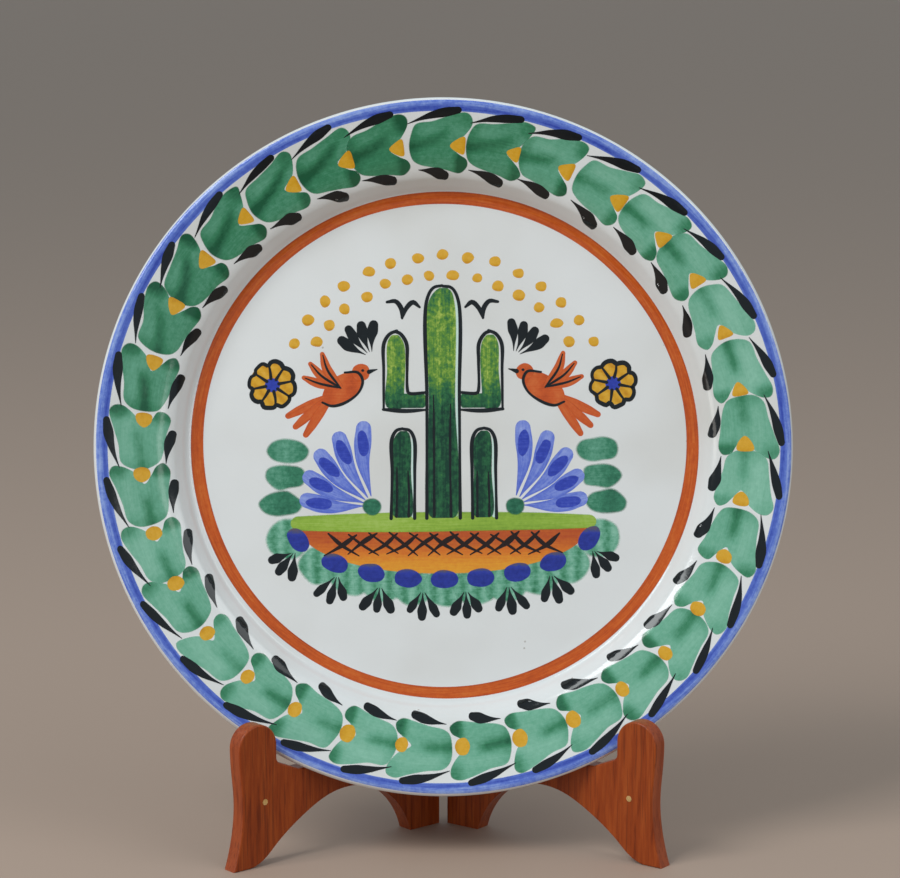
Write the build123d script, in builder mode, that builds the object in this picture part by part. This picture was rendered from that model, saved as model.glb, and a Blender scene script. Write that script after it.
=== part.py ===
"""A decorative glazed plate standing on a small folding wooden display stand.

Frame: +Z up, the ground at z = 0, the plate's painted face towards -Y, +X to the
viewer's right. The origin is under the middle of the whole object's box.
All sizes are in millimetres.

The stand is two boards joined along their back edges by two butt hinges. The boards
stand open in a V, hold the plate's rim in notches near their front ends, and the
plate leans back against the two uprights beside the hinge line. Lifted clear of the
plate, the right board folds flat against the left one.
"""

import os
from math import cos, radians, sin, sqrt, tan

from build123d import *

# Plate: a wheel-thrown dish with a flat well, a short steep wall and a broad rim
plate_radius = 150.0
plate_tilt = 12.5  # degrees that the plate leans back from upright
well_radius = 107.0  # where the flat well ends
wall_radius = 117.0  # where the steep wall ends and the broad rim starts
well_depth = 17.5  # from the lip's plane down to the well
wall_top_depth = 7.6  # from the lip's plane down to the start of the broad rim
body_thickness = 5.6
lip_thickness = 5.0
foot_ring_radius = 91.0
foot_ring_width = 4.6
foot_ring_height = 3.4
foot_ring_bevel = 1.2
plate_depth = well_depth + body_thickness + foot_ring_height

# Stand boards, drawn as "reach" forward of the hinge axis and height above ground
board_thickness = 7.6
board_length = 109.0
opening_half_angle = 52.0  # each board's swing from the folded position, degrees
folded_gap = 0.3  # between the two inner faces when folded
toe_flare = 3.4
toe_width = 3.4
prong_width = 19.5
prong_height = 62.0
notch_floor_height = 44.3  # at the prong
notch_fillet = 3.0
seat_height = 39.3  # the level edge behind the notch, which carries the rim
seat_reach = 79.5  # where the notch floor has ramped down to it
waist_setback = 1.6
waist_height = 28.0
upright_height = 96.0
upright_foot_fillet = 9.0
upright_top_fillet = 4.5
arch_height = 26.5
arch_peak_reach = 53.0
back_foot_length = 17.0
board_edge_rounding = 0.8

# Butt hinges on the boards' back edges
barrel_radius = 1.75
pin_radius = 0.9
pin_head_radius = 1.4
pin_head_height = 0.6
running_clearance = 0.05
leaf_thickness = 1.0
leaf_height = 22.0
leaf_inner_edge = 2.1  # where the leaf's plate starts, outward of the hinge axis
leaf_outer_edge = 7.7
leaf_corner_radius = 1.2
knuckle_gap = 0.2
hinge_heights = {"lower": 24.0, "upper": 74.0}

# Screws and tacks
screw_spacing = 13.0
screw_offset = 4.9  # outward of the hinge axis
screw_shank_radius = 0.9
screw_head_radius = 1.7
screw_length = 9.0
screw_tip_length = 1.8
tack_setback = 13.0  # behind the board's front end
tack_height = 28.0
tack_head_radius = 1.3
tack_head_depth = 0.6
tack_proud = 0.1
tack_shank_radius = 0.55
tack_length = 5.5

# Where the plate sits against the stand
plate_clearance = 0.05  # before the board edges are rounded, which adds the rest
tilt = radians(plate_tilt)
swing = radians(opening_half_angle)
front_reach = barrel_radius + board_length
prong_centre_height = prong_height - prong_width / 2
notch_wall_reach = front_reach - prong_width
rest_reach = 77.0  # reach of the point of the seat that carries the rim
rest_x = rest_reach * sin(swing)
outer_face = folded_gap / 2 + board_thickness
wall_x = notch_wall_reach * sin(swing) + outer_face * cos(swing)
wall_y = -notch_wall_reach * cos(swing) + outer_face * sin(swing)

rim_drop_at_rest = sqrt(plate_radius**2 - rest_x**2) * cos(tilt) + lip_thickness * sin(tilt)
rim_step_at_wall = sqrt(plate_radius**2 - wall_x**2) * sin(tilt)
plate_height = seat_height + rim_drop_at_rest + plate_clearance
plate_ahead = wall_y + rim_step_at_wall + plate_clearance  # relative to the hinge axis

# The hinge axis is set back so that the box of the whole object is centred on Y
toe_y = -(front_reach + toe_flare) * cos(swing) + folded_gap / 2 * sin(swing)
ring_outer = foot_ring_radius + foot_ring_width / 2
plate_back_y = plate_ahead + (ring_outer - foot_ring_bevel) * sin(tilt) + plate_depth * cos(tilt)
hinge_y = -(toe_y + plate_back_y) / 2

face_normal = (0, -cos(tilt), sin(tilt))
plate_centre = (0, hinge_y + plate_ahead, plate_height)
plate_axis = Axis(plate_centre, face_normal)
plate_section = Plane(plate_centre, x_dir=(1, 0, 0), z_dir=(0, -sin(tilt), -cos(tilt)))


def outward(side):
    """Direction out through a board's thickness; side is -1 for left, +1 for right."""
    return Vector(side * cos(swing), sin(swing), 0)


def backward(side):
    """Direction along a board, from its front end to its hinge edge."""
    return Vector(-side * sin(swing), cos(swing), 0)


def across_hinge(side, height):
    """Level plane on the hinge axis: its x runs outward and its y runs backward."""
    return Plane((0, hinge_y, height), x_dir=outward(side), z_dir=(0, 0, side))


def inner_face(side):
    """Plane of a board's inner face: its x is the reach and its y is the height."""
    origin = Vector(0, hinge_y, 0) + outward(side) * (folded_gap / 2)
    return Plane(origin, x_dir=backward(side) * -1, z_dir=outward(side) * -side)


def upright_reach(height):
    """Reach of the upright's front edge, parallel to the plane of the foot ring."""
    ring_plane_y = plate_ahead + plate_depth / cos(tilt)
    edge_y = ring_plane_y + (height - plate_height) * tan(tilt) + plate_clearance / cos(tilt)
    return (folded_gap / 2 * sin(swing) - edge_y) / cos(swing)


def screw_places(side, height):
    """Planes on the leaf's back face where its two screws go in."""
    section = across_hinge(side, height)
    face_offset = leaf_thickness - barrel_radius
    middle = section.from_local_coords((screw_offset, face_offset, 0))
    steps = (-screw_spacing / 2, screw_spacing / 2)
    return [Plane(middle + Vector(0, 0, step), z_dir=backward(side)) for step in steps]


def tack_place(side):
    """Plane on a board's inner face where its tack goes in."""
    face = inner_face(side)
    point = face.from_local_coords((front_reach - tack_setback, tack_height, 0))
    return Plane(point, z_dir=outward(side) * -1)


def make_plate():
    back_of_well = -(well_depth + body_thickness)
    ring_inner = foot_ring_radius - foot_ring_width / 2
    with BuildPart() as plate:
        with BuildSketch(plate_section):
            with BuildLine():
                well = Line((0, -well_depth - 0.5), (well_radius - 3, -well_depth - 0.3))
                wall = Spline(
                    well @ 1,
                    (well_radius + 2, -well_depth + 1.4),
                    (wall_radius - 3, -wall_top_depth - 3.2),
                    (wall_radius + 2, -wall_top_depth + 0.4),
                    tangents=((1, 0), (1, 0.2)),
                )
                rim = Spline(
                    wall @ 1,
                    (plate_radius - 14, -3.0),
                    (plate_radius - 2.5, 0),
                    tangents=((1, 0.2), (1, 0.12)),
                )
                lip = Spline(
                    rim @ 1,
                    (plate_radius, -lip_thickness / 2),
                    (plate_radius - 2.5, -lip_thickness),
                    tangents=((1, 0.12), (-1, -0.15)),
                )
                rim_back = Spline(
                    lip @ 1,
                    (wall_radius + 3.5, -wall_top_depth - body_thickness + 0.6),
                    (well_radius + 1.5, back_of_well + 2.4),
                    (ring_outer + 1.5, back_of_well),
                    tangents=((-1, -0.15), (-1, 0)),
                )
                Polyline(
                    rim_back @ 1,
                    (ring_outer, back_of_well - 0.8),
                    (ring_outer, -plate_depth + foot_ring_bevel),
                    (ring_outer - foot_ring_bevel, -plate_depth),
                    (ring_inner + foot_ring_bevel, -plate_depth),
                    (ring_inner, -plate_depth + foot_ring_bevel),
                    (ring_inner - 1.5, back_of_well),
                    (0, back_of_well),
                    well @ 0,
                )
            make_face()
        revolve(axis=plate_axis)
    plate.part.label = "plate"
    return plate.part


def round_long_edges(arm, side):
    """Softens the edges of both board faces, except along the hinge edge, the feet and the arch."""
    face = inner_face(side)

    def is_soft(edge):
        along_face = abs(edge.tangent_at(0.5).dot(outward(side))) < 0.5
        middle = face.to_local_coords(edge.center())
        on_front_edge = middle.X > front_reach - toe_flare
        above_arch = middle.Y > arch_height and middle.X > barrel_radius + 0.1
        return along_face and (on_front_edge or above_arch)

    fillet(arm.edges().filter_by(is_soft), board_edge_rounding)


def make_arm(side, label):
    lean_foot = upright_reach(seat_height)
    lean_top = upright_reach(upright_height)
    front_line = front_reach - prong_width / 2
    back_foot_reach = barrel_radius + back_foot_length
    half_span = arch_peak_reach - back_foot_reach
    arch_radius = (half_span**2 + arch_height**2) / (2 * arch_height)
    with BuildPart() as arm:
        with BuildSketch(inner_face(side)) as outline:
            with BuildLine():
                front_edge = Spline(
                    (front_reach + toe_flare, 0),
                    (front_reach - waist_setback, waist_height),
                    (front_reach, prong_centre_height),
                    tangents=((-0.35, 1), (0, 1)),
                )
                prong = ThreePointArc(
                    front_edge @ 1,
                    (front_line, prong_height),
                    (notch_wall_reach, prong_centre_height),
                )
                Polyline(
                    prong @ 1,
                    (notch_wall_reach, notch_floor_height),
                    (seat_reach, seat_height),
                    (lean_foot, seat_height),
                    (lean_top, upright_height),
                    (barrel_radius, upright_height),
                    (barrel_radius, 0),
                    (back_foot_reach, 0),
                )
                arch_back = RadiusArc(
                    (back_foot_reach, 0), (arch_peak_reach, arch_height), arch_radius
                )
                arch_front = Spline(
                    arch_back @ 1,
                    (front_reach - 36, arch_height * 0.76),
                    (front_reach - 18.5, arch_height * 0.31),
                    (front_reach - toe_width, 0),
                    tangents=((1, 0), (1, -0.12)),
                )
                Line(arch_front @ 1, front_edge @ 0)
            make_face()
            notch_corner = (notch_wall_reach, notch_floor_height)
            fillet(outline.vertices().sort_by_distance(notch_corner)[0], notch_fillet)
            upright_corner = (lean_foot, seat_height)
            fillet(outline.vertices().sort_by_distance(upright_corner)[0], upright_foot_fillet)
            fillet(outline.vertices().group_by(Axis.Y)[-1], upright_top_fillet)
        extrude(amount=-side * board_thickness)
        round_long_edges(arm, side)
        for height in hinge_heights.values():
            with Locations(*screw_places(side, height)):
                Hole(screw_shank_radius, depth=screw_length)
        with Locations(tack_place(side)):
            CounterBoreHole(tack_shank_radius, tack_head_radius, tack_head_depth, tack_length)
    arm.part.label = label
    return arm.part


def make_leaf(side, height, knuckle_steps, bore_radius, label):
    """One half of a butt hinge; its knuckles stand at the given steps from the middle."""
    section = across_hinge(side, height)
    knuckle_length = leaf_height / 3 - knuckle_gap
    leaf_middle = (leaf_inner_edge + leaf_outer_edge) / 2
    with BuildPart() as leaf:
        with BuildSketch(section):
            with Locations((leaf_middle, leaf_thickness / 2 - barrel_radius)):
                Rectangle(leaf_outer_edge - leaf_inner_edge, leaf_thickness)
        extrude(amount=leaf_height / 2, both=True)
        outer_corners = leaf.edges().filter_by(Axis(section.origin, backward(side)))
        fillet(outer_corners.sort_by_distance(section.origin)[-2:], leaf_corner_radius)
        for step in knuckle_steps:
            with BuildSketch(section.offset(side * step)):
                Circle(barrel_radius)
                with Locations((leaf_inner_edge / 2, leaf_thickness / 2 - barrel_radius)):
                    Rectangle(leaf_inner_edge, leaf_thickness)
            extrude(amount=knuckle_length / 2, both=True)
        with BuildSketch(section):
            Circle(bore_radius)
        extrude(amount=leaf_height / 2, both=True, mode=Mode.SUBTRACT)
        with Locations(*screw_places(side, height)):
            CounterSinkHole(
                screw_shank_radius, screw_head_radius, depth=leaf_thickness, counter_sink_angle=90
            )
    leaf.part.label = label
    return leaf.part


def make_pin(height, label):
    """Hinge pin with a small head at each end."""
    half_length = leaf_height / 2
    with BuildPart() as pin:
        with BuildSketch(Plane((0, hinge_y, height))):
            Circle(pin_radius)
        extrude(amount=half_length, both=True)
        for end in (-1, 1):
            with BuildSketch(Plane((0, hinge_y, height + end * half_length), z_dir=(0, 0, end))):
                Circle(pin_head_radius)
            extrude(amount=pin_head_height, taper=20)
    pin.part.label = label
    return pin.part


def make_screws(side, height, label):
    """The two countersunk screws of one leaf, as a group."""
    head_height = screw_head_radius - screw_shank_radius
    shank_length = screw_length - screw_tip_length
    with BuildPart() as screws:
        for place in screw_places(side, height):
            with BuildSketch(Plane(place.origin, x_dir=place.z_dir * -1, z_dir=(0, 0, 1))):
                with BuildLine():
                    Polyline(
                        (0, 0),
                        (0, screw_head_radius),
                        (head_height, screw_shank_radius),
                        (shank_length, screw_shank_radius),
                        (screw_length, 0),
                        close=True,
                    )
                make_face()
            revolve(axis=Axis(place.origin, place.z_dir))
    screws.part.label = label
    return screws.part


def make_tack(side, label):
    """Round-headed tack let into the inner face of a board."""
    place = tack_place(side)
    with BuildPart() as tack:
        with BuildSketch(place.offset(-tack_head_depth)):
            Circle(tack_head_radius)
        extrude(amount=tack_head_depth + tack_proud)
        with BuildSketch(place.offset(-tack_head_depth)):
            Circle(tack_shank_radius)
        extrude(amount=tack_head_depth - tack_length)
    tack.part.label = label
    return tack.part


def build():
    parts = [
        make_plate(),
        make_arm(-1, "left_arm"),
        make_arm(1, "right_arm"),
        make_tack(-1, "left_tack"),
        make_tack(1, "right_tack"),
    ]
    outer_knuckles = (-leaf_height / 3, leaf_height / 3)
    for name, height in hinge_heights.items():
        left_leaf = make_leaf(-1, height, outer_knuckles, pin_radius, f"{name}_hinge_left_leaf")
        right_bore = pin_radius + running_clearance
        right_leaf = make_leaf(1, height, (0,), right_bore, f"{name}_hinge_right_leaf")
        parts += [
            left_leaf,
            right_leaf,
            make_pin(height, f"{name}_hinge_pin"),
            make_screws(-1, height, f"{name}_hinge_left_screws"),
            make_screws(1, height, f"{name}_hinge_right_screws"),
        ]
    return parts


os.makedirs("parts", exist_ok=True)
for part in build():
    export_step(part, f"parts/{part.label}.step")
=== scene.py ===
"""Looks for a hand-painted plate on a folding wooden stand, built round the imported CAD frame.

The plate's decoration is painted in plate coordinates: millimetres from the middle of
the well, x to the right and y up across the dish. Every brush stroke is a thin strip or
patch of mesh laid on the glazed surface, with soft edges and brush streaks in its material.
"""

import math

import bpy
import numpy as np
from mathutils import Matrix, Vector


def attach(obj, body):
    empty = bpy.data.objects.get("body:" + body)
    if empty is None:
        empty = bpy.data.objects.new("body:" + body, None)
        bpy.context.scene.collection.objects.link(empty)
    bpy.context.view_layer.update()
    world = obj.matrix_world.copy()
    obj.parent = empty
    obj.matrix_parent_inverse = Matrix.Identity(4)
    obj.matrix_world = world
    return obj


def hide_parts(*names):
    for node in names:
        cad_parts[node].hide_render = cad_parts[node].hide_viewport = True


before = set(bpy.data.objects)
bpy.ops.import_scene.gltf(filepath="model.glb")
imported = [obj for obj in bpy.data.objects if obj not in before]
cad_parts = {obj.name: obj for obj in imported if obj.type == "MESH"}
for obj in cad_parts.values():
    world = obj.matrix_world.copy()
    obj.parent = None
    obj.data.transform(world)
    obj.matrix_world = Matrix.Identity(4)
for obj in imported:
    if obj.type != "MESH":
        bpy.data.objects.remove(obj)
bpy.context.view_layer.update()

MM = 0.001

# ------------ plate geometry
PLATE_TILT = math.radians(12.5)
LIP_MID_DEPTH = 2.5  # mm from the lip's plane back to the widest part of the lip
RIGHT = np.array([1.0, 0.0, 0.0])
FACE = np.array([0.0, -math.cos(PLATE_TILT), math.sin(PLATE_TILT)])
UP = np.array([0.0, math.sin(PLATE_TILT), math.cos(PLATE_TILT)])

# Section of the dish as (radius, depth) in mm; depth 0 is the lip's plane
FRONT_SECTION = [
    (0, -18.0), (60, -17.95), (98, -17.75), (106.5, -17.5), (110.6, -16.6), (113.4, -12.9),
    (116.3, -9.1), (120.5, -7.0), (130, -4.5), (140, -1.9), (145.5, -0.5), (147.5, -0.12), (148.7, -0.35),
    (149.4, -1.0),
]
LIP_SECTION = [(149.8, -1.7), (149.95, -2.5), (149.6, -3.9), (148.6, -4.8)]
BACK_SECTION = [
    (147.3, -5.05), (134, -8.6), (120.5, -12.7), (114.3, -16.8), (108.3, -20.8), (102, -22.8), (95.2, -23.1),
]
RING_SECTION = [
    (93.6, -23.6), (93.2, -24.6), (92.9, -25.8), (92.0, -26.5), (90.0, -26.5), (89.2, -25.9),
    (88.8, -24.6), (88.2, -23.4), (86, -23.1),
]
BASE_SECTION = [(60, -23.05), (30, -23.05), (0, -23.05)]
BARE_RING = (88.9, 92.8)  # radii of the unglazed foot
BARE_DEPTH = -25.5  # the foot is unglazed beyond this depth
RIM_START, RIM_WIDTH = 112.0, 38.0  # where the slight unevenness of the rim sets in

# ------------ small maths helpers


def smooth_curve(xs, ys, at):
    """Monotone cubic through (xs, ys), read at the places asked for."""
    xs, ys, at = (np.asarray(v, float) for v in (xs, ys, at))
    step = np.diff(xs)
    slope = np.diff(ys) / step
    if len(xs) == 2:
        return ys[0] + slope[0] * (at - xs[0])
    tangent = np.zeros(len(xs))
    same_way = slope[:-1] * slope[1:] > 0
    weight_a = 2 * step[1:] + step[:-1]
    weight_b = step[1:] + 2 * step[:-1]
    safe = np.where(same_way, slope[:-1], 1), np.where(same_way, slope[1:], 1)
    inner = (weight_a + weight_b) / (weight_a / safe[0] + weight_b / safe[1])
    tangent[1:-1] = np.where(same_way, inner, 0)
    tangent[0], tangent[-1] = slope[0], slope[-1]
    i = np.clip(np.searchsorted(xs, at) - 1, 0, len(xs) - 2)
    t = (np.clip(at, xs[0], xs[-1]) - xs[i]) / step[i]
    t2, t3 = t * t, t * t * t
    return (
        (2 * t3 - 3 * t2 + 1) * ys[i] + (t3 - 2 * t2 + t) * step[i] * tangent[i]
        + (3 * t2 - 2 * t3) * ys[i + 1] + (t3 - t2) * step[i] * tangent[i + 1]
    )


def smooth_path(points, spacing, closed=False):
    """Points along a smooth curve through the given ones, evenly spaced."""
    p = np.asarray(points, float)
    if closed:
        p = np.vstack([p[-1], p, p[0], p[1]])
    else:
        p = np.vstack([2 * p[0] - p[1], p, 2 * p[-1] - p[-2]])
    gap = np.sqrt(np.hypot(*np.diff(p, axis=0).T)) + 1e-6
    slope = np.diff(p, axis=0) / gap[:, None]
    before, after = gap[:-1, None], gap[1:, None]
    tangent = (slope[:-1] * after + slope[1:] * before) / (before + after)
    t = np.linspace(0, 1, 24, endpoint=False)[:, None]
    runs = []
    for a, b, leave, arrive, h in zip(p[1:], p[2:], tangent, tangent[1:], gap[1:]):
        runs.append((2 * t**3 - 3 * t**2 + 1) * a + (t**3 - 2 * t**2 + t) * h * leave
                    + (3 * t**2 - 2 * t**3) * b + (t**3 - t**2) * h * arrive)
    fine = np.vstack(runs + [p[-2]])
    along = np.concatenate([[0], np.cumsum(np.hypot(*np.diff(fine, axis=0).T))])
    count = max(int(along[-1] / spacing), 14 if closed else 4)
    at = np.linspace(0, along[-1], count + 1)
    if closed:
        at = at[:-1]
    return np.column_stack([np.interp(at, along, fine[:, 0]), np.interp(at, along, fine[:, 1])])


# ------------ plate surface
plate_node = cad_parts["plate"]
plate_points = np.array([v.co for v in plate_node.data.vertices])
lip_right = plate_points[plate_points[:, 0].argmax()]
CENTRE = lip_right - RIGHT * lip_right[0] + FACE * LIP_MID_DEPTH * MM


def front_depth(x, y):
    """Depth of the glazed front at a place on the dish; a thrown dish is not quite true."""
    radius = np.hypot(x, y)
    angle = np.arctan2(y, x)
    depth = smooth_curve(*np.array(FRONT_SECTION).T, radius)
    wave = 0.16 * np.sin(2 * angle + 0.7) + 0.07 * np.sin(5 * angle + 2.0)
    out = np.clip((radius - RIM_START) / RIM_WIDTH, 0, 1)
    return depth + wave * out**2 - 0.2 * out


def on_plate(x, y, depth):
    """World position, in metres, of plate coordinates in mm."""
    x, y, depth = (np.asarray(v, float)[..., None] for v in (x, y, depth))
    return CENTRE + MM * (x * RIGHT + y * UP + depth * FACE)


def front_normal(x, y):
    """Unit normals of the front surface, in world directions."""
    e = 0.05
    dx = (front_depth(x + e, y) - front_depth(x - e, y)) / (2 * e)
    dy = (front_depth(x, y + e) - front_depth(x, y - e)) / (2 * e)
    n = FACE - dx[:, None] * RIGHT - dy[:, None] * UP
    return n / np.linalg.norm(n, axis=1)[:, None]


def add_object(name, data):
    thing = bpy.data.objects.new(name, data)
    bpy.context.scene.collection.objects.link(thing)
    return thing


# ------------ material nodes


class Nodes:
    """Short calls for building a node material."""

    def __init__(self, name):
        self.material = bpy.data.materials.new(name)
        self.material.use_nodes = True
        self.tree = self.material.node_tree
        self.shader = self.tree.nodes["Principled BSDF"]
        self.output = self.tree.nodes["Material Output"]

    def add(self, kind, **settings):
        node = self.tree.nodes.new("ShaderNode" + kind)
        for key, value in settings.items():
            setattr(node, key, value)
        return node

    def link(self, source, target):
        self.tree.links.new(source, target)

    def feed(self, socket, value):
        if isinstance(value, bpy.types.NodeSocket):
            self.link(value, socket)
        else:
            socket.default_value = value

    def maths(self, operation, a, b=0.0, clamp=False):
        node = self.add("Math", operation=operation, use_clamp=clamp)
        self.feed(node.inputs[0], a)
        self.feed(node.inputs[1], b)
        return node.outputs[0]

    def swing(self, noise, size):
        """A noise about its middle, scaled."""
        return self.maths("MULTIPLY", self.maths("SUBTRACT", noise, 0.5), size)

    def attribute(self, name, output="Fac"):
        return self.add("Attribute", attribute_name=name).outputs[output]

    def scaled(self, vector, scale):
        node = self.add("Mapping")
        self.link(vector, node.inputs["Vector"])
        node.inputs["Scale"].default_value = scale
        return node.outputs[0]

    def noise(self, vector, scale=1.0, detail=3.0, rough=0.5):
        node = self.add("TexNoise")
        self.link(vector, node.inputs["Vector"])
        node.inputs["Scale"].default_value = scale
        node.inputs["Detail"].default_value = detail
        node.inputs["Roughness"].default_value = rough
        return node.outputs["Fac"]

    def ramp(self, fac, stops, smooth=True):
        node = self.add("ValToRGB")
        ramp = node.color_ramp
        ramp.interpolation = "EASE" if smooth else "LINEAR"
        while len(ramp.elements) < len(stops):
            ramp.elements.new(0.5)
        for element, (place, colour) in zip(ramp.elements, stops):
            element.position = place
            element.color = colour
        self.link(fac, node.inputs[0])
        return node.outputs[0]

    def mix(self, fac, a, b):
        node = self.add("Mix", data_type="RGBA")
        self.feed(node.inputs[0], fac)
        self.feed(node.inputs[6], a)
        self.feed(node.inputs[7], b)
        return node.outputs[2]

    def bump(self, height, distance, strength=1.0, after=None):
        node = self.add("Bump")
        node.inputs["Strength"].default_value = strength
        node.inputs["Distance"].default_value = distance
        self.link(height, node.inputs["Height"])
        if after is not None:
            self.link(after, node.inputs["Normal"])
        return node.outputs[0]

    def object_place(self):
        return self.add("TexCoord").outputs["Object"]


def srgb(r, g, b):
    """Linear colour, with alpha 1, of an 8-bit display colour."""
    values = []
    for c in (r, g, b):
        c /= 255
        values.append(c / 12.92 if c <= 0.04045 else ((c + 0.055) / 1.055) ** 2.4)
    return (*values, 1.0)


def shades(*stops):
    """Ramp stops, each given as (place, red, green, blue) in 8-bit display colour."""
    return [(place, srgb(*colour)) for place, *colour in stops]


GLAZE_ROUGHNESS = 0.13


def glaze_ripple(n):
    """The faint unevenness of a fired glaze, the same under every colour."""
    place = n.object_place()
    broad = n.noise(place, scale=38.0, detail=1.0)
    fine = n.noise(place, scale=420.0, detail=1.0)
    first = n.bump(broad, 0.0012, 0.55)
    return n.bump(fine, 0.00006, 0.5, after=first)


def make_glaze():
    n = Nodes("white_glaze")
    place = n.object_place()
    cloud = n.noise(place, scale=9.0, detail=3.0, rough=0.55)
    white = n.ramp(cloud, shades((0.3, 214, 213, 210), (0.55, 224, 225, 225), (0.75, 230, 232, 232)))
    speck = n.add("TexVoronoi", feature="F1")
    n.link(place, speck.inputs["Vector"])
    speck.inputs["Scale"].default_value = 95.0
    hole = n.maths("LESS_THAN", speck.outputs["Distance"], 0.045)
    rare = n.maths("GREATER_THAN", n.noise(place, scale=31.0, detail=0.0), 0.6)
    hole = n.maths("MULTIPLY", hole, rare)
    n.link(n.mix(n.maths("MULTIPLY", hole, 0.45), white, srgb(120, 100, 80)), n.shader.inputs["Base Color"])
    n.shader.inputs["Roughness"].default_value = GLAZE_ROUGHNESS
    n.link(glaze_ripple(n), n.shader.inputs["Normal"])
    return n.material


def make_bare_clay():
    n = Nodes("bare_clay")
    place = n.object_place()
    grit = n.noise(place, scale=700.0, detail=4.0, rough=0.7)
    clay = n.ramp(grit, shades((0.3, 176, 128, 96), (0.7, 205, 165, 130)))
    n.link(clay, n.shader.inputs["Base Color"])
    n.shader.inputs["Roughness"].default_value = 0.85
    n.link(n.bump(grit, 0.0002), n.shader.inputs["Normal"])
    return n.material


def make_pigment(name, stops, streaks=0.3, mottle=0.2, ragged=0.35):
    """Underglaze colour: stops run from a thin wash to pooled paint."""
    n = Nodes(name)
    tone = n.attribute("tone")
    cover = n.attribute("cover")
    grain = n.attribute("grain", "Vector")
    bristle = n.noise(n.scaled(grain, (0.09, 1.5, 1.0)), detail=4.0, rough=0.6)
    cloud = n.noise(n.scaled(grain, (0.55, 0.55, 1.0)), detail=3.0, rough=0.6)
    speckle = n.noise(n.scaled(grain, (3.2, 3.2, 1.0)), detail=2.0, rough=0.7)
    streak = n.swing(bristle, 2.2 * streaks)
    patch = n.swing(cloud, 2.2 * mottle)
    dust = n.swing(speckle, 0.9 * mottle)
    depth = n.maths("ADD", n.maths("ADD", tone, streak), n.maths("ADD", patch, dust), clamp=True)
    n.link(n.ramp(depth, stops, smooth=False), n.shader.inputs["Base Color"])
    n.shader.inputs["Roughness"].default_value = GLAZE_ROUGHNESS
    n.link(glaze_ripple(n), n.shader.inputs["Normal"])
    covered = n.maths("ADD", cover, n.swing(speckle, ragged))
    edge = n.maths("MULTIPLY", n.maths("SUBTRACT", covered, 0.22), 2.4, clamp=True)
    clear = n.add("BsdfTransparent")
    mix = n.add("MixShader")
    n.link(edge, mix.inputs[0])
    n.link(clear.outputs[0], mix.inputs[1])
    n.link(n.shader.outputs[0], mix.inputs[2])
    n.link(mix.outputs[0], n.output.inputs[0])
    return n.material


def make_wood(name, outward):
    """Lacquered hardwood with upright grain; the sawn edges are paler than the faces."""
    n = Nodes(name)
    place = n.object_place()
    warp = n.noise(place, scale=14.0, detail=2.0)
    stretched = n.scaled(place, (1.0, 1.0, 0.055))
    shift = n.add("VectorMath", operation="SCALE")
    n.link(place, shift.inputs[0])
    n.link(n.maths("MULTIPLY", warp, 0.05), shift.inputs["Scale"])
    bent = n.add("VectorMath", operation="ADD")
    n.link(stretched, bent.inputs[0])
    n.link(shift.outputs[0], bent.inputs[1])
    band = n.noise(bent.outputs[0], scale=420.0, detail=5.0, rough=0.62)
    pore = n.noise(n.scaled(place, (1.0, 1.0, 0.02)), scale=1500.0, detail=2.0)
    face = n.ramp(band, shades((0.28, 112, 40, 8), (0.45, 146, 60, 16), (0.6, 160, 71, 22),
                               (0.75, 174, 86, 34)))
    edge = n.ramp(band, shades((0.3, 136, 56, 22), (0.6, 160, 74, 36), (0.75, 174, 88, 48)))
    facing = n.add("VectorMath", operation="DOT_PRODUCT")
    n.link(n.add("TexCoord").outputs["Normal"], facing.inputs[0])
    facing.inputs[1].default_value = outward
    on_edge = n.maths("SUBTRACT", 1.0, n.maths("ABSOLUTE", facing.outputs["Value"]), clamp=True)
    colour = n.mix(n.maths("GREATER_THAN", on_edge, 0.5), face, edge)
    dark_pore = n.maths("MULTIPLY", n.maths("LESS_THAN", pore, 0.4), 0.4)
    n.link(n.mix(dark_pore, colour, srgb(80, 30, 12)), n.shader.inputs["Base Color"])
    rough = n.maths("ADD", n.maths("MULTIPLY", band, 0.2), 0.26)
    n.link(rough, n.shader.inputs["Roughness"])
    n.shader.inputs["Specular IOR Level"].default_value = 0.3
    n.link(n.bump(band, 0.0002, 0.5, after=n.bump(pore, 0.00008, 0.6)), n.shader.inputs["Normal"])
    return n.material


def make_brass(name, bright, dull):
    n = Nodes(name)
    place = n.object_place()
    cloud = n.noise(place, scale=260.0, detail=4.0, rough=0.6)
    scratch = n.noise(n.scaled(place, (1.0, 1.0, 0.05)), scale=2600.0, detail=1.0)
    n.link(n.ramp(cloud, [(0.35, dull), (0.6, bright)]), n.shader.inputs["Base Color"])
    n.shader.inputs["Metallic"].default_value = 1.0
    rough = n.maths("ADD", n.maths("MULTIPLY", scratch, 0.25), 0.18)
    n.link(rough, n.shader.inputs["Roughness"])
    n.link(n.bump(scratch, 0.00003, 0.5), n.shader.inputs["Normal"])
    return n.material


# ------------ the plate itself


def dense(section, step):
    """Places close together along the smooth curve through a section's points."""
    radius, depth = np.array(section, float).T
    gaps = np.hypot(np.diff(radius), np.diff(depth))
    along = np.concatenate([[0], np.cumsum(gaps)])
    at = np.linspace(0, along[-1], int(along[-1] / step) + 2)
    return np.column_stack([smooth_curve(along, radius, at), smooth_curve(along, depth, at)])


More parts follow.
